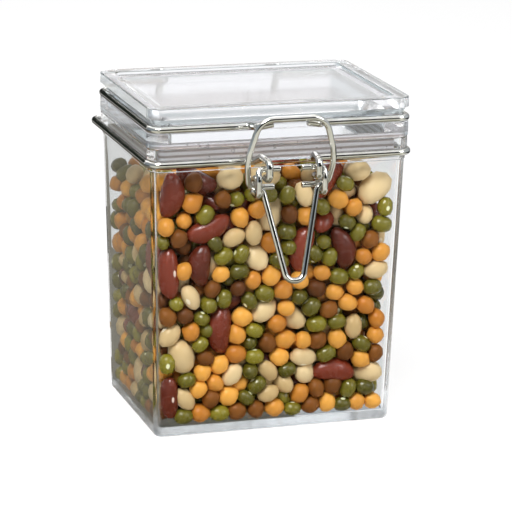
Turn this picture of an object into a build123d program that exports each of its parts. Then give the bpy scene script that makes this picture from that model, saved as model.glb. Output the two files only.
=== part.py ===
"""Lidded canister of clear glass with a wire bail latch at the front.

Millimetres, +Z up, the latch faces -Y. The origin is the centre of the flat
base. A size called an inset is measured inwards from the faces of the lid's
rim, which is the widest outline of the glass.
"""
import os

from build123d import *

# Glass outline
rim_w = 102.0
rim_d = 77.3
corner_r = 5.0

# Jar, from the table up
foot_inset = 4.2
body_inset = 1.3
bead_inset = 0.7
flange_inset = 0.15
body_h = 103.4
bead_h = 1.6
flange_h = 4.4
wall = 2.1
floor_t = 3.4
body_r = 3.6
foot_r = 1.5
hollow_r = 1.6
edge_r = 0.5

# Lid, from the parting gap up
parting_gap = 0.4
skirt_h = 5.3
flank_h = 2.1
flank_inset = 1.2
notch_h = 0.6
rim_t = 3.9
border_w = 5.5
panel_drop = 1.2
panel_t = 4.0
plug_depth = 7.4
plug_wall = 2.4
plug_lip = 0.6

# Gasket
gasket_t = 1.5
gasket_lip = 1.0
gasket_clearance = 0.1
sleeve_t = 1.0
sleeve_depth = 6.3
swing_gap = 1.7

# Wire bands that lie in the grooves of the jar's neck and the lid
band_wire = 2.7
groove_clearance = 0.1
seat_clearance = 0.05
neck_wire_inset = 0.3
lid_wire_inset = 1.0
band_bend = 2.2
end_r = 0.4

# Hinge at the back: a straight bar and two open loops around it
hinge_reach = 8.25
hinge_bar_r = 4.0
hinge_loop_x = 24.0
hinge_clearance = 0.2
hinge_leg_out = 7.0
hinge_leg_top = 6.0
hinge_bridge_rise = 3.2
hinge_leg_bend = 3.0

# Catches: the two ends of the lid's band
catch_x = 12.3
catch_end_x = 6.6
catch_reach = 8.35
catch_rise = 1.55
catch_end_rise = 2.55

# Lever and bail, bent from a thinner wire
latch_wire = 2.3
turn_clearance = 0.35
pivot_reach = 10.25
pivot_drop = 0.95
pin_back = 3.3
pin_drop = 7.5
lever_pin_end_x = 4.1
arm_x = 12.75
arm_knee_drop = 3.5
inner_turn_x = 12.4
turn_rise = 3.3
leg_x = 10.4
jog_top = 0.8
jog_bottom = -1.2
grip_half_w = 3.1
grip_drop = 41.2
grip_reach = 7.1
lever_bend = 2.4

bail_pin_end_x = 5.4
bail_foot_x = 15.3
bail_wide_x = 17.0
bail_wide_rise = 11.0
bail_wide_reach = 3.5
bail_bar_half = 12.6
bail_bar_rise = 26.35
bail_bar_reach = 5.25

# Eyes: the two ends of the neck's band, which hold the lever's pins
eye_root_x = 11.9
eye_throat_x = 11.6
eye_throat_reach = 3.2
eye_throat_rise = 0.6
eye_crest_x = 10.3
eye_hump = 0.4
eye_x = 9.6
eye_slack = 0.9
eye_front_slack = 1.8
eye_bend = 2.4

# Levels and places that follow
half_w = rim_w / 2
half_d = rim_d / 2
groove_h = band_wire + 2 * groove_clearance
bead_z = body_h
neck_z = bead_z + bead_h
flange_z = neck_z + groove_h
mouth_z = flange_z + flange_h
skirt_z = mouth_z + parting_gap
lid_groove_z = skirt_z + skirt_h
flank_z = lid_groove_z + groove_h
notch_z = flank_z + flank_h
rim_z = notch_z + notch_h
top_z = rim_z + rim_t

neck_groove_inset = neck_wire_inset + band_wire / 2 + seat_clearance
lid_groove_inset = lid_wire_inset + band_wire / 2 + seat_clearance
neck_wire_z = neck_z + groove_h / 2
lid_wire_z = lid_groove_z + groove_h / 2
groove_r = corner_r - lid_groove_inset
mouth_inset = body_inset + wall
sleeve_inset = mouth_inset + swing_gap
plug_inset = sleeve_inset + sleeve_t + gasket_clearance
lip_inset = plug_inset - plug_lip
gasket_top = mouth_z + gasket_t
plug_z = mouth_z - plug_depth
sleeve_z = mouth_z - sleeve_depth

hinge_y = half_d + hinge_reach
hinge_loop_r = band_wire + hinge_clearance
pivot_y = -half_d - pivot_reach
pivot_z = neck_wire_z - pivot_drop
pin_y = pivot_y + pin_back
pin_z = pivot_z - pin_drop
turn_r = latch_wire + turn_clearance
eye_rise = (band_wire + latch_wire) / 2 + eye_slack
eye_front = (band_wire + latch_wire) / 2 + eye_front_slack


def outline(inset, radius=hollow_r, mode=Mode.ADD):
    """A rounded oblong, drawn in from the faces of the lid's rim."""
    return RectangleRounded(rim_w - 2 * inset, rim_d - 2 * inset, radius, mode=mode)


def both_sides(half):
    """A route and its mirror image in one run, from the right end to the left."""
    return half + [(-x, y, z) for x, y, z in reversed(half)]


def level(part, height):
    """The edges of a part that lie flat at one height."""
    return part.edges().filter_by_position(Axis.Z, height - 0.01, height + 0.01)


def ledge(part, height):
    """The outer edges of the flat ledge that rings a part at one height."""
    flats = part.faces().filter_by(Plane.XY).filter_by_position(Axis.Z, height - 0.01, height + 0.01)
    return flats.sort_by(SortBy.AREA)[-1].outer_wire().edges()


# Jar: tapered body, bead, groove for the neck band, flange, hollow
jar_tiers = [
    (0, bead_z, foot_inset, body_inset, body_r),
    (bead_z, neck_z, bead_inset, bead_inset, corner_r),
    (neck_z, flange_z, neck_groove_inset, neck_groove_inset, corner_r - neck_groove_inset),
    (flange_z, mouth_z, flange_inset, flange_inset, corner_r),
]
hollow_tiers = [
    (floor_t, bead_z, foot_inset + wall, mouth_inset),
    (bead_z, mouth_z, mouth_inset, mouth_inset),
]

with BuildPart() as jar:
    for low, high, low_inset, high_inset, radius in jar_tiers:
        with BuildSketch(Plane.XY.offset(low)):
            outline(low_inset, radius)
        with BuildSketch(Plane.XY.offset(high)):
            outline(high_inset, radius)
        loft(ruled=True)
    fillet(level(jar, 0), radius=foot_r)
    for low, high, low_inset, high_inset in hollow_tiers:
        with BuildSketch(Plane.XY.offset(low)):
            outline(low_inset)
        with BuildSketch(Plane.XY.offset(high)):
            outline(high_inset)
        loft(ruled=True, mode=Mode.SUBTRACT)
    fillet(level(jar, floor_t), radius=hollow_r / 2)
    fillet(level(jar, mouth_z), radius=edge_r)
    for height in (bead_z, neck_z, flange_z):
        fillet(ledge(jar, height), radius=edge_r)

# Lid: hollow plug with a lip, skirt, groove for its band, notched rim, sunken top panel
lid_tiers = [
    (plug_z, sleeve_z - gasket_clearance, lip_inset, lip_inset, hollow_r, hollow_r),
    (sleeve_z - gasket_clearance, gasket_top, plug_inset, plug_inset, hollow_r, hollow_r),
    (gasket_top, lid_groove_z, 0, 0, corner_r, corner_r),
    (lid_groove_z, flank_z, lid_groove_inset, lid_groove_inset, groove_r, groove_r),
    (flank_z, notch_z, lid_groove_inset, flank_inset, groove_r, corner_r - flank_inset),
    (notch_z, rim_z, flank_inset, 0, corner_r - flank_inset, corner_r),
    (rim_z, top_z, 0, 0, corner_r, corner_r),
]

with BuildPart() as lid:
    for low, high, low_inset, high_inset, low_r, high_r in lid_tiers:
        with BuildSketch(Plane.XY.offset(low)):
            outline(low_inset, low_r)
        with BuildSketch(Plane.XY.offset(high)):
            outline(high_inset, high_r)
        loft(ruled=True)
    with BuildSketch(Plane.XY.offset(skirt_z)):
        outline(0, corner_r)
        outline(gasket_lip, corner_r - gasket_lip, Mode.SUBTRACT)
    extrude(amount=gasket_top - skirt_z)
    with BuildSketch(Plane.XY.offset(plug_z)):
        outline(plug_inset + plug_wall)
    extrude(amount=top_z - panel_drop - panel_t - plug_z, mode=Mode.SUBTRACT)
    with BuildSketch(Plane.XY.offset(top_z - panel_drop)):
        outline(border_w)
    extrude(amount=panel_drop, mode=Mode.SUBTRACT)
    fillet(level(lid, top_z), radius=edge_r)
    fillet(level(lid, plug_z), radius=edge_r)

# Gasket: a flat ring between the jar's mouth and the lid, with a sleeve round the plug
with BuildPart() as gasket:
    with BuildSketch(Plane.XY.offset(mouth_z)):
        outline(gasket_lip + gasket_clearance, corner_r - gasket_lip)
    extrude(amount=gasket_t)
    with BuildSketch(Plane.XY.offset(sleeve_z)):
        outline(sleeve_inset)
    extrude(amount=sleeve_depth)
    with BuildSketch(Plane.XY.offset(sleeve_z)):
        outline(plug_inset - gasket_clearance)
    extrude(amount=sleeve_depth + gasket_t, mode=Mode.SUBTRACT)

# Neck band: eye, front groove, side, hinge bar across the back, and so round
neck_half = [
    (eye_x, pivot_y + eye_slack, pivot_z - eye_rise),
    (eye_x, pivot_y - eye_front, pivot_z - eye_rise),
    (eye_x, pivot_y - eye_front, pivot_z + eye_rise - groove_clearance),
    (eye_crest_x, pivot_y + eye_rise, pivot_z + eye_rise + eye_hump),
    (eye_throat_x, -half_d - eye_throat_reach, neck_wire_z + eye_throat_rise),
    (eye_root_x, -half_d + neck_wire_inset, neck_wire_z),
    (half_w - neck_wire_inset, -half_d + neck_wire_inset, neck_wire_z),
    (half_w - neck_wire_inset, hinge_y, neck_wire_z),
]
neck_bends = [eye_bend, eye_bend, eye_bend, band_bend, band_bend, corner_r - neck_wire_inset, hinge_bar_r]

with BuildPart() as neck_band:
    with BuildLine():
        neck_route = FilletPolyline(*both_sides(neck_half), radius=neck_bends + neck_bends[::-1])
    with BuildSketch(Plane(neck_route @ 0, z_dir=neck_route % 0)):
        Circle(band_wire / 2)
    sweep()
    fillet(neck_band.faces().filter_by(GeomType.PLANE).edges(), radius=end_r)

# Lid band: catch, front groove, side, back groove, leg down and round the bar
lid_half = [
    (catch_end_x, -half_d - catch_reach, lid_wire_z + catch_end_rise),
    (catch_x, -half_d - catch_reach, lid_wire_z + catch_rise),
    (catch_x, -half_d + lid_wire_inset, lid_wire_z),
    (half_w - lid_wire_inset, -half_d + lid_wire_inset, lid_wire_z),
    (half_w - lid_wire_inset, half_d - lid_wire_inset, lid_wire_z),
    (hinge_loop_x, half_d - lid_wire_inset, lid_wire_z),
    (hinge_loop_x, half_d - lid_wire_inset + hinge_leg_out, lid_wire_z),
    (hinge_loop_x, hinge_y + hinge_loop_r, neck_wire_z + hinge_leg_top),
    (hinge_loop_x, hinge_y + hinge_loop_r, neck_wire_z - hinge_loop_r),
    (hinge_loop_x, hinge_y - hinge_loop_r, neck_wire_z - hinge_loop_r),
    (hinge_loop_x, hinge_y - hinge_loop_r, neck_wire_z + hinge_bridge_rise),
]
lid_corner = corner_r - lid_wire_inset
loop_bend = hinge_loop_r - seat_clearance
lid_bends = [band_bend, band_bend, lid_corner, lid_corner, band_bend]
lid_bends += [hinge_leg_bend, hinge_leg_bend, loop_bend, loop_bend, band_bend]

with BuildPart() as lid_band:
    with BuildLine():
        lid_route = FilletPolyline(*both_sides(lid_half), radius=lid_bends + lid_bends[::-1])
    with BuildSketch(Plane(lid_route @ 0, z_dir=lid_route % 0)):
        Circle(band_wire / 2)
    sweep()
    fillet(lid_band.faces().filter_by(GeomType.PLANE).edges(), radius=end_r)

# Lever: pin in the neck's eye, arm, one turn round the bail's pin, leg, grip
arm_y = pin_y - turn_r - latch_wire - turn_clearance / 2
lever_half = [
    (lever_pin_end_x, pivot_y, pivot_z),
    (arm_x, pivot_y, pivot_z),
    (arm_x, arm_y, pivot_z - arm_knee_drop),
    (arm_x, arm_y, pin_z - turn_r),
    (arm_x, pin_y + turn_r, pin_z - turn_r),
    (inner_turn_x, pin_y + turn_r, pin_z + turn_rise),
    (inner_turn_x, pin_y - turn_r, pin_z + turn_rise),
    (inner_turn_x, pin_y - turn_r, pin_z + jog_top),
    (leg_x, pin_y - turn_r, pin_z + jog_bottom),
    (grip_half_w, pivot_y - grip_reach, pivot_z - grip_drop),
]
lever_bends = [2.0, 4.0, lever_bend, lever_bend, lever_bend, 1.5, 2.0, 3.0, 3.6]

with BuildPart() as lever:
    with BuildLine():
        lever_route = FilletPolyline(*both_sides(lever_half), radius=lever_bends + lever_bends[::-1])
    with BuildSketch(Plane(lever_route @ 0, z_dir=lever_route % 0)):
        Circle(latch_wire / 2)
    sweep()
    fillet(lever.faces().filter_by(GeomType.PLANE).edges(), radius=end_r)

# Bail: pin in the lever's turn, bowed side, bar that crosses the lid's catches
bail_half = [
    (bail_pin_end_x, pin_y, pin_z),
    (bail_foot_x, pin_y, pin_z),
    (bail_wide_x, pin_y - bail_wide_reach, pin_z + bail_wide_rise),
    (bail_bar_half, pin_y - bail_bar_reach, pin_z + bail_bar_rise),
]
bail_bends = [3.2, 20.0, 7.0]

with BuildPart() as bail:
    with BuildLine():
        bail_route = FilletPolyline(*both_sides(bail_half), radius=bail_bends + bail_bends[::-1])
    with BuildSketch(Plane(bail_route @ 0, z_dir=bail_route % 0)):
        Circle(latch_wire / 2)
    sweep()
    fillet(bail.faces().filter_by(GeomType.PLANE).edges(), radius=end_r)

os.makedirs("parts", exist_ok=True)
pieces = {
    "jar": jar,
    "lid": lid,
    "gasket": gasket,
    "neck_band": neck_band,
    "lid_band": lid_band,
    "lever": lever,
    "bail": bail,
}
for name, piece in pieces.items():
    piece.part.label = name
    export_step(piece.part, "parts/" + name + ".step")
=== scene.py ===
"""Lidded glass canister with a wire bail latch, filled with dried pulses."""
import math
import random

import bmesh
import bpy
import numpy as np
from mathutils import Matrix, Vector, noise


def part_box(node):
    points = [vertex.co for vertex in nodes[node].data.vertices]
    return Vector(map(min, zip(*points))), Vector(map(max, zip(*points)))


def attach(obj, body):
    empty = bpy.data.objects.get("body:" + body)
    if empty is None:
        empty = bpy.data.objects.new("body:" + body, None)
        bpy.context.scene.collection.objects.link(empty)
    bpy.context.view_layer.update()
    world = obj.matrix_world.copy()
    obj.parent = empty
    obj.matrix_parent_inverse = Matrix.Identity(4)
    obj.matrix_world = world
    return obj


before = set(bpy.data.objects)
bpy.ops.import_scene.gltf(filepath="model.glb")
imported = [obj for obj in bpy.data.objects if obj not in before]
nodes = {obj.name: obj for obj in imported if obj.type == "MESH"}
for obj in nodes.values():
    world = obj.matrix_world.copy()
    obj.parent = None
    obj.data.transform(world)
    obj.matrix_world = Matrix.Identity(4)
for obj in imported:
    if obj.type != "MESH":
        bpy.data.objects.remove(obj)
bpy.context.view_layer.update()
scene = bpy.context.scene

# The jar's hollow, in metres; an inset is measured inwards from the lid's rim
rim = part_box("lid")[1]
WALL = 0.0021
FLOOR = 0.0034
FOOT_INSET = 0.0042
BODY_INSET = 0.0013
BODY_HEIGHT = 0.1034
SIDE_ROOM = 0.0006

# How far the pulses fill it at the front and at the back, and how densely
FILL_FRONT = 0.1042
FILL_BACK = 0.0970
PACKING = 0.66
SEED = 28

# Kinds of pulse: share by number, half length, half width, half thickness
PULSES = {
    "kidney_bean": (0.065, 0.0090, 0.0047, 0.0040),
    "white_bean": (0.10, 0.0051, 0.0036, 0.0031),
    "yellow_pea": (0.31, 0.0038, 0.0036, 0.0035),
    "mung_bean": (0.365, 0.0037, 0.0030, 0.0030),
    "brown_pea": (0.14, 0.0038, 0.0034, 0.0032),
}
SIZE_SPREAD = 0.1
LARGE_WHITE_SHARE = 0.3
LARGE_WHITE_GROWTH = 1.4

# Their skins: dark and pale tone, the scar's tone, dullness, shine
SKINS = {
    "kidney_bean": ((0.070, 0.010, 0.003), (0.20, 0.030, 0.011), (0.75, 0.6, 0.5), 0.2, 0.35),
    "white_bean": ((0.44, 0.29, 0.11), (0.71, 0.54, 0.29), (0.85, 0.75, 0.55), 0.3, 0.2),
    "yellow_pea": ((0.41, 0.130, 0.010), (0.78, 0.37, 0.058), (0.7, 0.4, 0.12), 0.34, 0.25),
    "mung_bean": ((0.040, 0.036, 0.002), (0.21, 0.18, 0.012), (0.78, 0.78, 0.5), 0.2, 0.4),
    "brown_pea": ((0.070, 0.020, 0.004), (0.22, 0.076, 0.010), (0.3, 0.13, 0.05), 0.38, 0.15),
}

# How the seeds settle: they grow from a part of their size while they push each other apart
STEPS = 320
STEPS_BETWEEN_PAIRS = 25
START_SIZE = 0.55
GROWTH = 0.5
GROWING_TIME = 0.7
PUSH = 0.3
SINK = 0.00002
NEARLY_TOUCHING_MM = 1.2

# Seeds further out than this share of the hollow start nearly flat against the wall
BY_WALL = 0.7
LEAN_KEPT = 0.15


# --------------------------------------------------------------------- nodes

def new_material(name):
    """An empty node material with a Principled shader, and that shader."""
    material = bpy.data.materials.new(name)
    material.use_nodes = True
    shader = material.node_tree.nodes["Principled BSDF"]
    return material, shader


def new_group(name, inputs, outputs):
    """A node group with its sockets by name and kind, and its input and output nodes."""
    group = bpy.data.node_groups.new(name, "ShaderNodeTree")
    for direction, sockets in (("INPUT", inputs), ("OUTPUT", outputs)):
        for socket, kind in sockets.items():
            group.interface.new_socket(socket, in_out=direction, socket_type="NodeSocket" + kind)
    return group, group.nodes.new("NodeGroupInput"), group.nodes.new("NodeGroupOutput")


def add_node(tree, kind, **values):
    """A node with its settings, or its input values where the name is a socket's."""
    node = tree.nodes.new(kind)
    for key, value in values.items():
        if key in node.inputs:
            node.inputs[key].default_value = value
        else:
            setattr(node, key, value)
    return node


def maths(tree, operation, *values):
    """Result of a Math node whose inputs are sockets or numbers."""
    node = add_node(tree, "ShaderNodeMath", operation=operation)
    for socket, value in zip(node.inputs, values):
        if isinstance(value, (int, float)):
            socket.default_value = value
        else:
            tree.links.new(value, socket)
    return node.outputs["Value"]


def ranged(tree, value, low, high, start=0.3, end=0.7):
    """A value mapped from start..end to low..high."""
    span = add_node(tree, "ShaderNodeMapRange")
    span.inputs["From Min"].default_value = start
    span.inputs["From Max"].default_value = end
    span.inputs["To Min"].default_value = low
    span.inputs["To Max"].default_value = high
    tree.links.new(value, span.inputs["Value"])
    return span.outputs["Result"]


def along_axes(tree, coordinates):
    """X, Y and Z of the surface's Object coordinates or its Normal."""
    place = add_node(tree, "ShaderNodeTexCoord")
    parts = add_node(tree, "ShaderNodeSeparateXYZ")
    tree.links.new(place.outputs[coordinates], parts.inputs["Vector"])
    return parts.outputs


def surface_noise(tree, scale, detail=2.0, roughness=0.5):
    """Noise on Object coordinates."""
    place = add_node(tree, "ShaderNodeTexCoord")
    grain = add_node(tree, "ShaderNodeTexNoise", Scale=scale, Detail=detail, Roughness=roughness)
    tree.links.new(place.outputs["Object"], grain.inputs["Vector"])
    return grain.outputs["Fac"]


def bump(tree, height, strength, distance):
    """A Bump node's normal."""
    relief = add_node(tree, "ShaderNodeBump", Strength=strength, Distance=distance)
    tree.links.new(height, relief.inputs["Height"])
    return relief.outputs["Normal"]


def tone_between(tree, first, second, share):
    """Colour between two colours, which are sockets or tones, by a share."""
    mix = add_node(tree, "ShaderNodeMix", data_type="RGBA")
    tree.links.new(share, mix.inputs["Factor"])
    for socket, tone in ((mix.inputs["A"], first), (mix.inputs["B"], second)):
        if isinstance(tone, tuple):
            socket.default_value = tone + (1,)
        else:
            tree.links.new(tone, socket)
    return mix.outputs["Result"]


def shader_between(tree, first, second, share):
    """The first shader where the share is 0 and the second where it is 1."""
    mix = add_node(tree, "ShaderNodeMixShader")
    tree.links.new(share, mix.inputs["Fac"])
    tree.links.new(first, mix.inputs[1])
    tree.links.new(second, mix.inputs[2])
    return mix.outputs["Shader"]


# ------------------------------------------------------------------ finishes

def glass_body_group():
    """Colour and roughness of moulded clear glass.

    Its colour has painted shade where it faces left or right and at its rounded edges, in
    place of dark refraction; it darkens in the thick foot, and the foot and the upright corners are
    hazier.
    """
    foot_haze_from, foot_haze_to = 0.0036, 0.0060
    uneven_roughness = 0.16
    group, start, end = new_group(
        "glass_body",
        {"Clear": "Color", "Side": "Color", "Edge shade": "Color", "Foot": "Color", "Haze": "Float"},
        {"Color": "Color", "Roughness": "Float"},
    )
    facing = along_axes(group, "Normal")
    sideways = maths(group, "ABSOLUTE", facing["X"])
    frontways = maths(group, "ABSOLUTE", facing["Y"])
    upward = maths(group, "ABSOLUTE", facing["Z"])
    # Painted shade at the rounded edges: the sloping faces of the fillets take the Edge shade tone
    rounded = maths(
        group, "MULTIPLY",
        ranged(group, upward, 0.0, 1.0, start=0.1, end=0.45),
        ranged(group, upward, 1.0, 0.0, start=0.8, end=0.97),
    )
    corner = maths(
        group, "MULTIPLY",
        ranged(group, sideways, 0.0, 1.0, start=0.1, end=0.4),
        ranged(group, frontways, 0.0, 1.0, start=0.1, end=0.4),
    )
    height = along_axes(group, "Object")["Z"]
    foot = ranged(group, height, 1.0, 0.0, start=foot_haze_from, end=foot_haze_to)
    # Painted shade: faces turned left or right take the Side shade tone
    side = ranged(group, sideways, 0.0, 1.0, start=0.1, end=0.9)
    tone = tone_between(group, start.outputs["Clear"], start.outputs["Side"], side)
    tone = tone_between(group, tone, start.outputs["Edge shade"], rounded)
    tone = tone_between(group, tone, start.outputs["Foot"], foot)
    group.links.new(tone, end.inputs["Color"])
    smear = ranged(group, surface_noise(group, 60.0, 3.0), 0.5, 1.0)
    haze = maths(group, "MULTIPLY", smear, start.outputs["Haze"])
    uneven = maths(group, "MAXIMUM", foot, corner)
    rough = maths(group, "MULTIPLY_ADD", uneven, uneven_roughness, haze)
    group.links.new(rough, end.inputs["Roughness"])
    return group


def clear_glass(name, body, tones, haze, mirror):
    """Polished clear glass.

    Lamps shine through it onto what it holds, and a ray that has turned inside it
    too many times leaves it straight.
    """
    turns_inside = 8
    material, shader = new_material(name)
    tree = material.node_tree
    moulded = add_node(tree, "ShaderNodeGroup", node_tree=body)
    for tone_name, tone in tones.items():
        moulded.inputs[tone_name].default_value = tone + (1,)
    moulded.inputs["Haze"].default_value = haze
    tree.links.new(moulded.outputs["Color"], shader.inputs["Base Color"])
    tree.links.new(moulded.outputs["Roughness"], shader.inputs["Roughness"])
    shader.inputs["IOR"].default_value = 1.5
    shader.inputs["Transmission Weight"].default_value = 1.0
    shader.inputs["Specular Tint"].default_value = (mirror, mirror, mirror, 1)
    straight = add_node(tree, "ShaderNodeBsdfTransparent")
    path = add_node(tree, "ShaderNodeLightPath").outputs
    lit = maths(tree, "MAXIMUM", path["Is Shadow Ray"], path["Is Diffuse Ray"])
    lost = maths(tree, "GREATER_THAN", path["Ray Depth"], turns_inside)
    passes = maths(tree, "MAXIMUM", lit, lost)
    surface = shader_between(tree, shader.outputs["BSDF"], straight.outputs["BSDF"], passes)
    tree.links.new(surface, tree.nodes["Material Output"].inputs["Surface"])
    return material


def silicone():
    """Milky translucent seal with fine ribs round its sleeve, and painted shade in the grooves
    between the ribs.
    """
    rib_pitch = 0.0021
    material, shader = new_material("silicone")
    tree = material.node_tree
    turns = maths(tree, "MULTIPLY", along_axes(tree, "Object")["Z"], 2 * math.pi / rib_pitch)
    rib_height_and_shade = ranged(tree, maths(tree, "SINE", turns), 0.0, 1.0, start=-0.9, end=0.3)
    # Painted shade: the colour turns dark brownish-grey in the grooves between the ribs
    tone = tone_between(tree, (0.42, 0.36, 0.34), (0.93, 0.93, 0.95), rib_height_and_shade)
    tree.links.new(tone, shader.inputs["Base Color"])
    shader.inputs["Transmission Weight"].default_value = 0.45
    shader.inputs["IOR"].default_value = 1.41
    cloud = surface_noise(tree, 300.0, 3.0)
    tree.links.new(ranged(tree, cloud, 0.25, 0.4), shader.inputs["Roughness"])
    tree.links.new(bump(tree, rib_height_and_shade, 0.4, 0.0002), shader.inputs["Normal"])
    return material


def bright_wire():
    """Polished steel wire with fine stains, darker towards its sides."""
    material, shader = new_material("bright_wire")
    tree = material.node_tree
    shader.inputs["Metallic"].default_value = 1.0
    shader.inputs["Specular Tint"].default_value = (0.35, 0.35, 0.34, 1)
    stain = surface_noise(tree, 150.0, 3.0)
    spread = ranged(tree, stain, 0.0, 1.0)
    tone = tone_between(tree, (0.66, 0.65, 0.60), (0.83, 0.83, 0.81), spread)
    tree.links.new(tone, shader.inputs["Base Color"])
    tree.links.new(ranged(tree, stain, 0.16, 0.09), shader.inputs["Roughness"])
    return material


def finish_node(name, material):
    """Puts a finish on a CAD node."""
    slots = nodes[name].data.materials
    slots.clear()
    slots.append(material)


def finish_nodes():
    """Glass for the jar and the lid, silicone for the seal, steel for the four wires."""
    wire = bright_wire()
    body = glass_body_group()
    # Side shade and Edge shade are painted shade: greyer where the glass faces the sides and darker
    # at its rounded edges, more so on the lid
    jar_tones = {
        "Clear": (0.965, 0.975, 0.985),
        "Side": (0.90, 0.915, 0.92),
        "Edge shade": (0.45, 0.49, 0.51),
        "Foot": (0.66, 0.70, 0.73),
    }
    lid_tones = {
        "Clear": (0.945, 0.95, 0.975),
        "Side": (0.57, 0.63, 0.66),
        "Edge shade": (0.24, 0.28, 0.29),
        "Foot": (0.66, 0.70, 0.73),
    }
    finish_node("jar", clear_glass("jar_glass", body, jar_tones, haze=0.008, mirror=0.06))
    finish_node("lid", clear_glass("lid_glass", body, lid_tones, haze=0.10, mirror=0.6))
    for name in ("neck_band", "lid_band", "lever", "bail"):
        finish_node(name, wire)
    finish_node("gasket", silicone())


# ------------------------------------------------------------------ contents

def pulse_skin_group():
    """Skin of a pulse: a tint of its own for each seed, mottling, and the pale scar."""
    mottling = 0.5
    group, start, end = new_group(
        "pulse_skin",
        {"Dark": "Color", "Pale": "Color", "Scar": "Color", "Dullness": "Float"},
        {"Color": "Color", "Roughness": "Float", "Height": "Float"},
    )
    tint = add_node(group, "ShaderNodeAttribute", attribute_name="tint")
    scar = add_node(group, "ShaderNodeAttribute", attribute_name="scar")
    mottle = surface_noise(group, 260.0, 4.0, 0.6)
    blend = maths(group, "MULTIPLY_ADD", mottle, mottling, tint.outputs["Fac"])
    paleness = ranged(group, blend, 0.0, 1.0, start=0.1, end=1.2)
    skin = tone_between(group, start.outputs["Dark"], start.outputs["Pale"], paleness)
    marked = ranged(group, scar.outputs["Fac"], 0.0, 1.0, start=0.55, end=0.75)
    skin = tone_between(group, skin, start.outputs["Scar"], marked)
    group.links.new(skin, end.inputs["Color"])
    rough = maths(group, "ADD", ranged(group, mottle, 0.0, 0.12), start.outputs["Dullness"])
    group.links.new(rough, end.inputs["Roughness"])
    group.links.new(mottle, end.inputs["Height"])
    return group


def pulse_material(name, skin_group, dark, pale, scar, dullness, shine):
    """Skin of one kind of pulse."""
    material, shader = new_material(name)
    tree = material.node_tree
    skin = add_node(tree, "ShaderNodeGroup", node_tree=skin_group)
    skin.inputs["Dark"].default_value = dark + (1,)
    skin.inputs["Pale"].default_value = pale + (1,)
    skin.inputs["Scar"].default_value = scar + (1,)
    skin.inputs["Dullness"].default_value = dullness
    tree.links.new(skin.outputs["Color"], shader.inputs["Base Color"])
    tree.links.new(skin.outputs["Roughness"], shader.inputs["Roughness"])
    tree.links.new(bump(tree, skin.outputs["Height"], 0.15, 0.0003), shader.inputs["Normal"])
    shader.inputs["Specular IOR Level"].default_value = shine
    return material


def room_half(height):
    """Half width and half depth of the jar's hollow at a height."""
    share = min(max(height, 0.0) / BODY_HEIGHT, 1.0)
    inset = WALL + FOOT_INSET * (1 - share) + BODY_INSET * share
    return rim.x - inset - SIDE_ROOM, rim.y - inset


def choose_pulses():
    """Seeds drawn by share until they fill the hollow: kind and half sizes."""
    chance = random.Random(SEED)
    fill_height = (FILL_FRONT + FILL_BACK) / 2
    half_x, half_y = room_half(fill_height / 2)
    room = 4 * half_x * half_y * (fill_height - FLOOR) * PACKING
    names = list(PULSES)
    shares = [PULSES[name][0] for name in names]
    chosen = []
    while room > 0:
        name = chance.choices(names, shares)[0]
        size = chance.uniform(1 - SIZE_SPREAD, 1 + SIZE_SPREAD)
        if name == "white_bean" and chance.random() < LARGE_WHITE_SHARE:
            size = size * LARGE_WHITE_GROWTH
        length, width, thickness = (size * half for half in PULSES[name][1:])
        chosen.append((name, length, width, thickness))
        room -= 4 / 3 * math.pi * length * width * thickness
    return chosen


def near_pairs(balls, radius, count):
    """Pairs of balls of different seeds that touch or nearly do, found in millimetres."""
    mm = 1000
    place = (balls * mm).astype(np.float32)
    square = (balls ** 2).sum(axis=1).astype(np.float32) * np.float32(mm * mm)
    gap_squared = square[:, None] + square[None, :] - 2 * place @ place.T
    reach = (radius[:, None] + radius[None, :]) * mm + NEARLY_TOUCHING_MM
    reach = reach.astype(np.float32)
    first, second = np.nonzero(gap_squared < reach * reach)
    keep = (second > first) & (second - first != count)
    return first[keep], second[keep]


def scatter(count, ball):
    """First places and long axes of the seeds, those by a wall lying nearly along it."""
    random_state = np.random.default_rng(SEED)
    height = random_state.uniform(FLOOR, FILL_BACK, count)
    halves = np.array([room_half(h) for h in height]) - ball[:, None]
    centre = np.column_stack((random_state.uniform(-1, 1, (count, 2)) * halves, height))
    axis = random_state.normal(size=(count, 3))
    by_wall = np.abs(centre[:, :2]) > BY_WALL * halves
    axis[:, :2] = np.where(by_wall, LEAN_KEPT * axis[:, :2], axis[:, :2])
    axis /= np.linalg.norm(axis, axis=1)[:, None]
    return centre, axis


def keep_in_jar(balls, radius):
    """Balls moved back inside the walls, the floor and the sloping top of the fill."""
    foot_half = np.array(room_half(0.0))
    slope = (np.array(room_half(BODY_HEIGHT)) - foot_half) / BODY_HEIGHT
    limit = foot_half + slope * np.minimum(balls[:, 2:3], BODY_HEIGHT) - radius[:, None]
    balls[:, :2] = np.clip(balls[:, :2], -limit, limit)
    backness = (balls[:, 1] / rim.y + 1) / 2
    top = FILL_FRONT + (FILL_BACK - FILL_FRONT) * backness
    balls[:, 2] = np.clip(balls[:, 2], FLOOR + radius, top - radius)


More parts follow.
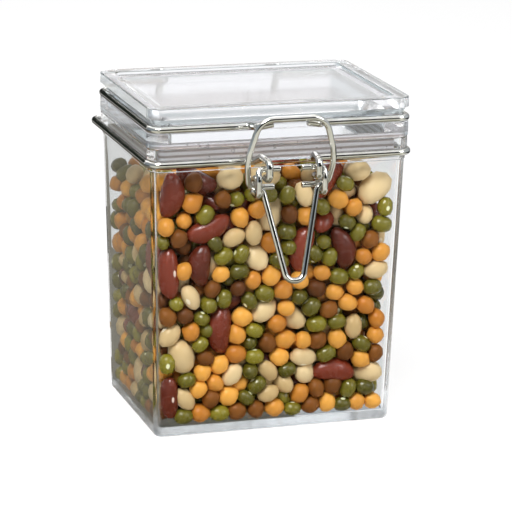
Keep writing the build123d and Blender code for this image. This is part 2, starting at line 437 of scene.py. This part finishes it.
def settle(chosen):
    """Places and long axes of the seeds after they push each other apart between the walls.

    Each seed is two balls on its long axis.
    """
    least_reach = 0.00005
    least_length, least_distance = 1e-6, 1e-9
    count = len(chosen)
    sizes = np.array([seed[1:] for seed in chosen])
    ball = (sizes[:, 1] + sizes[:, 2]) / 2
    reach = np.maximum(sizes[:, 0] - ball, least_reach)
    centre, axis = scatter(count, ball)
    for step in range(STEPS):
        grown = min(1.0, START_SIZE + GROWTH * step / (GROWING_TIME * STEPS))
        radius = np.concatenate((ball, ball)) * grown
        arm = axis * (reach * grown)[:, None]
        balls = np.concatenate((centre + arm, centre - arm))
        if step % STEPS_BETWEEN_PAIRS == 0:
            first, second = near_pairs(balls, radius, count)
        apart = balls[first] - balls[second]
        distance = np.linalg.norm(apart, axis=1) + least_distance
        overlap = radius[first] + radius[second] - distance
        touching = overlap > 0
        push = apart[touching] * (PUSH * overlap[touching] / distance[touching])[:, None]
        for along in range(3):
            balls[:, along] += np.bincount(first[touching], push[:, along], 2 * count)
            balls[:, along] -= np.bincount(second[touching], push[:, along], 2 * count)
        balls[:, 2] -= SINK
        keep_in_jar(balls, radius)
        front, back = balls[:count], balls[count:]
        centre = (front + back) / 2
        lean = front - back
        length = np.linalg.norm(lean, axis=1)[:, None]
        axis = np.where(length > least_length, lean / np.maximum(length, least_length), axis)
    return centre, axis


def seed_frame(centre, axis, half_width, chance):
    """A seed's own axes: long axis, and its flat side to the wall where it lies against one."""
    widths_from_wall = 1.6
    unevenness = 0.35
    along = Vector(axis).normalized()
    half_x, half_y = room_half(centre[2])
    gap, outward = min(
        (half_x - abs(centre[0]), Vector((math.copysign(1, centre[0]), 0, 0))),
        (half_y - abs(centre[1]), Vector((0, math.copysign(1, centre[1]), 0))),
        key=lambda wall: wall[0],
    )
    face = Vector([chance.gauss(0, 1) for _ in range(3)])
    if gap < widths_from_wall * half_width:
        face = outward + unevenness * face
    side = face.cross(along).normalized()
    up = along.cross(side).normalized()
    turn = Matrix((along, side, up)).transposed().to_4x4()
    return Matrix.Translation(centre) @ turn


def shape_seed(name, point, half, lumps):
    """Where a point of the unit ball lies on a seed, in the seed's own axes."""
    x, y, z = point
    length, width, thickness = half
    if name == "kidney_bean":
        bend = 0.36 * width * (x * x - 0.35)
        return Vector((length * x, width * y * (1 + 0.05 * x) - bend, thickness * z))
    if name == "white_bean":
        return Vector((length * x, width * y - 0.1 * width * x * x, thickness * z))
    if name == "mung_bean":
        blunt = 2.7
        barrel = (abs(x) ** blunt + (y * y + z * z) ** (blunt / 2)) ** (-1 / blunt)
        return Vector((length * x, width * y, thickness * z)) * barrel
    lump = 1 + 0.17 * noise.noise(1.3 * point + lumps)
    if name == "yellow_pea":
        lump += 0.16 * max(0.0, x) ** 5
    return Vector((length * x, width * y, thickness * z)) * lump


def scar_strength(name, point):
    """How strongly the pale scar shows at a point of the unit ball."""
    x, y, z = point
    if y >= 0:
        return 0.0
    if name in ("kidney_bean", "white_bean"):
        return max(0.0, 1.2 - abs(x) * 4.2 - abs(z) * 6)
    if name == "mung_bean":
        return max(0.0, 1.15 - abs(x) * 1.9 - abs(z) * 2.4)
    return 0.0


def unit_ball(fineness):
    """Mesh of a ball of radius 1, and its points."""
    ball = bmesh.new()
    bmesh.ops.create_icosphere(ball, subdivisions=fineness, radius=1)
    mesh = bpy.data.meshes.new("unit_ball")
    ball.to_mesh(mesh)
    points = [vert.co.copy() for vert in ball.verts]
    ball.free()
    return mesh, points


def fill_with(name, material, chosen, centres, axes):
    """All seeds of one kind as one piece."""
    chance = random.Random(name)
    shape = bmesh.new()
    tint = shape.verts.layers.float.new("tint")
    scar = shape.verts.layers.float.new("scar")
    fineness = 3 if name == "kidney_bean" else 2
    ball, points = unit_ball(fineness)
    own = [seed for seed in zip(chosen, centres, axes) if seed[0][0] == name]
    for _ in own:
        shape.from_mesh(ball)
    bpy.data.meshes.remove(ball)
    verts = list(shape.verts)
    for index, ((_, *half), centre, axis) in enumerate(own):
        place = seed_frame(centre, axis, half[1], chance)
        lumps = Vector([chance.uniform(0, 50) for _ in range(3)])
        own_tint = chance.random()
        start = index * len(points)
        for vert, point in zip(verts[start:start + len(points)], points):
            vert[tint] = own_tint
            vert[scar] = scar_strength(name, point)
            vert.co = place @ shape_seed(name, point, half, lumps)
    for face in shape.faces:
        face.smooth = True
    mesh = bpy.data.meshes.new(name + "s")
    shape.to_mesh(mesh)
    shape.free()
    piece = bpy.data.objects.new(name + "s", mesh)
    scene.collection.objects.link(piece)
    mesh.materials.append(material)
    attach(piece, "canister")


def fill_jar():
    """The pulses in the jar, one piece for each kind."""
    chosen = choose_pulses()
    centres, axes = settle(chosen)
    skin_group = pulse_skin_group()
    for name, skin in SKINS.items():
        fill_with(name, pulse_material(name, skin_group, *skin), chosen, centres, axes)


# -------------------------------------------------------------------- studio

def aim(direction):
    """Turns -Z to a direction, with +Y as up as it can be."""
    return Vector(direction).to_track_quat("-Z", "Y").to_matrix().to_4x4()


def camera():
    """A long lens, a little above and to the left of the front."""
    yaw, pitch, roll = 0.309736, 0.261116, 0.016058
    distance = 1.097107
    side, rise = -0.003443, -0.056811
    lift = Vector((0, 0, 0.0004))
    level_reach = math.cos(pitch)
    forward = Vector((math.sin(yaw) * level_reach, math.cos(yaw) * level_reach, -math.sin(pitch)))
    level = Vector((math.cos(yaw), -math.sin(yaw), 0))
    upright = level.cross(forward)
    right = level * math.cos(roll) + upright * math.sin(roll)
    up = upright * math.cos(roll) - level * math.sin(roll)
    place = lift - side * right - rise * up - distance * forward
    turn = Matrix((right, up, -forward)).transposed().to_4x4()
    data = bpy.data.cameras.new("camera")
    data.sensor_width = 36.0
    data.lens = 196.02
    data.clip_start = 0.05
    data.clip_end = 20.0
    eye = bpy.data.objects.new("camera", data)
    eye.matrix_world = Matrix.Translation(place) @ turn
    scene.collection.objects.link(eye)
    scene.camera = eye


def lamp(name, place, size, energy):
    """A square soft box aimed at the middle of the canister."""
    middle = Vector((0, 0, 0.06))
    data = bpy.data.lights.new(name, "AREA")
    data.size = size
    data.energy = energy
    box = bpy.data.objects.new(name, data)
    box.matrix_world = Matrix.Translation(place) @ aim(middle - Vector(place))
    scene.collection.objects.link(box)


def flat_sheet(name, width, height, material):
    """A flat rectangle round the origin."""
    shape = bmesh.new()
    bmesh.ops.create_grid(shape, x_segments=1, y_segments=1, size=0.5)
    bmesh.ops.scale(shape, vec=(width, height, 1), verts=shape.verts)
    mesh = bpy.data.meshes.new(name)
    shape.to_mesh(mesh)
    shape.free()
    mesh.materials.append(material)
    sheet = bpy.data.objects.new(name, mesh)
    scene.collection.objects.link(sheet)
    return sheet


def card(name, centre, facing, width, height, shade, through_glass=True, mirrored=True):
    """A flat card that only shiny and clear surfaces see."""
    material, _ = new_material(name)
    tree = material.node_tree
    glow = add_node(tree, "ShaderNodeEmission", Color=shade + (1,), Strength=1.0)
    tree.links.new(glow.outputs["Emission"], tree.nodes["Material Output"].inputs["Surface"])
    board = flat_sheet(name, width, height, material)
    board.matrix_world = Matrix.Translation(centre) @ aim(facing)
    board.visible_camera = False
    board.visible_diffuse = False
    board.visible_transmission = through_glass
    board.visible_glossy = mirrored
    board.visible_shadow = False


def cards():
    """What shiny and clear surfaces see: a table in patches, a dark front and back, grey sides."""
    black = (0.012, 0.012, 0.012)
    dusk = (0.02, 0.025, 0.02)
    iron = (0.03, 0.035, 0.04)
    slate = (0.26, 0.30, 0.33)
    stone = (0.34, 0.37, 0.40)
    mist = (0.50, 0.53, 0.56)
    bark = (0.225, 0.21, 0.175)
    olive = (0.25, 0.24, 0.17)
    cream = (0.78, 0.77, 0.68)
    down, right, left = (0, 0, -1), (1, 0, 0), (-1, 0, 0)
    under, over = -0.0002, -0.0001
    card("table_back_left_card", (-0.12, 0.234, under), down, 0.26, 0.552, bark)
    card("table_left_card", (-0.575, 0.279, under), down, 0.65, 0.642, iron, through_glass=False)
    card("table_right_card", (0.56, 0.06, over), down, 0.68, 0.54, iron, through_glass=False)
    card("table_dark_strip_card", (0.15, -0.52, over), down, 0.09, 0.25, black, through_glass=False)
    card("table_cream_card", (0, -0.471, under), down, 1.8, 0.858, cream)
    card("table_front_left_card", (-0.3, -0.18, over), down, 0.45, 0.28, stone, mirrored=False)
    card("table_near_card", (0.02, -0.1, over), down, 0.18, 0.116, olive)
    card("front_card", (0, -0.95, 0.4), (0, 1, 0), 2.4, 0.8, black, through_glass=False)
    card("back_card", (-0.25, 0.9, 0.25), (0, -1, 0), 0.74, 0.5, dusk, through_glass=False)
    card("left_card", (-0.75, 0.0, 0.45), right, 1.7, 0.9, slate, through_glass=False)
    card("right_card", (0.8, 0.0, 0.45), left, 1.7, 0.9, mist)


def white_when_seen(tree):
    """One for the rays that see the surroundings: camera, mirror and glass rays."""
    path = add_node(tree, "ShaderNodeLightPath").outputs
    seen = maths(tree, "MAXIMUM", path["Is Camera Ray"], path["Is Glossy Ray"])
    return maths(tree, "MAXIMUM", seen, path["Is Transmission Ray"])


def white_surroundings():
    """A world that is white to look at and gives little light."""
    world = bpy.data.worlds.new("studio")
    scene.world = world
    world.use_nodes = True
    tree = world.node_tree
    tree.nodes.clear()
    dim = add_node(tree, "ShaderNodeBackground", Color=(1, 1, 1, 1), Strength=0.05)
    white = add_node(tree, "ShaderNodeBackground", Color=(1, 1, 1, 1), Strength=1.0)
    output = add_node(tree, "ShaderNodeOutputWorld")
    surface = shader_between(tree, dim.outputs["Background"], white.outputs["Background"],
                             white_when_seen(tree))
    tree.links.new(surface, output.inputs["Surface"])


def pale_floor():
    """A plain paper floor just below the foot, a little brighter to look at than it is lit."""
    size = 3.0
    gap_below_foot = 0.0003
    share_of_glow = 0.8
    paper, shader = new_material("paper")
    tree = paper.node_tree
    shader.inputs["Base Color"].default_value = (0.9, 0.9, 0.9, 1)
    shader.inputs["Roughness"].default_value = 0.9
    glow = add_node(tree, "ShaderNodeEmission", Strength=1.1)
    share = maths(tree, "MULTIPLY", white_when_seen(tree), share_of_glow)
    surface = shader_between(tree, shader.outputs["BSDF"], glow.outputs["Emission"], share)
    tree.links.new(surface, tree.nodes["Material Output"].inputs["Surface"])
    floor = flat_sheet("floor", size, size, paper)
    floor.location.z = -gap_below_foot


def studio():
    """White surroundings, a pale floor, three soft boxes and the cards."""
    white_surroundings()
    pale_floor()
    lamp("key", (-0.4, -0.6, 1.0), size=0.45, energy=14.0)
    lamp("fill", (0.7, -0.7, 0.55), size=0.5, energy=4.0)
    lamp("back", (0.1, 0.8, 0.8), size=0.8, energy=4.0)
    cards()


finish_nodes()
fill_jar()
camera()
studio()
scene.view_settings.view_transform = "Standard"
scene.cycles.max_bounces = 20
scene.cycles.transmission_bounces = 20
scene.cycles.glossy_bounces = 16
scene.cycles.transparent_max_bounces = 32
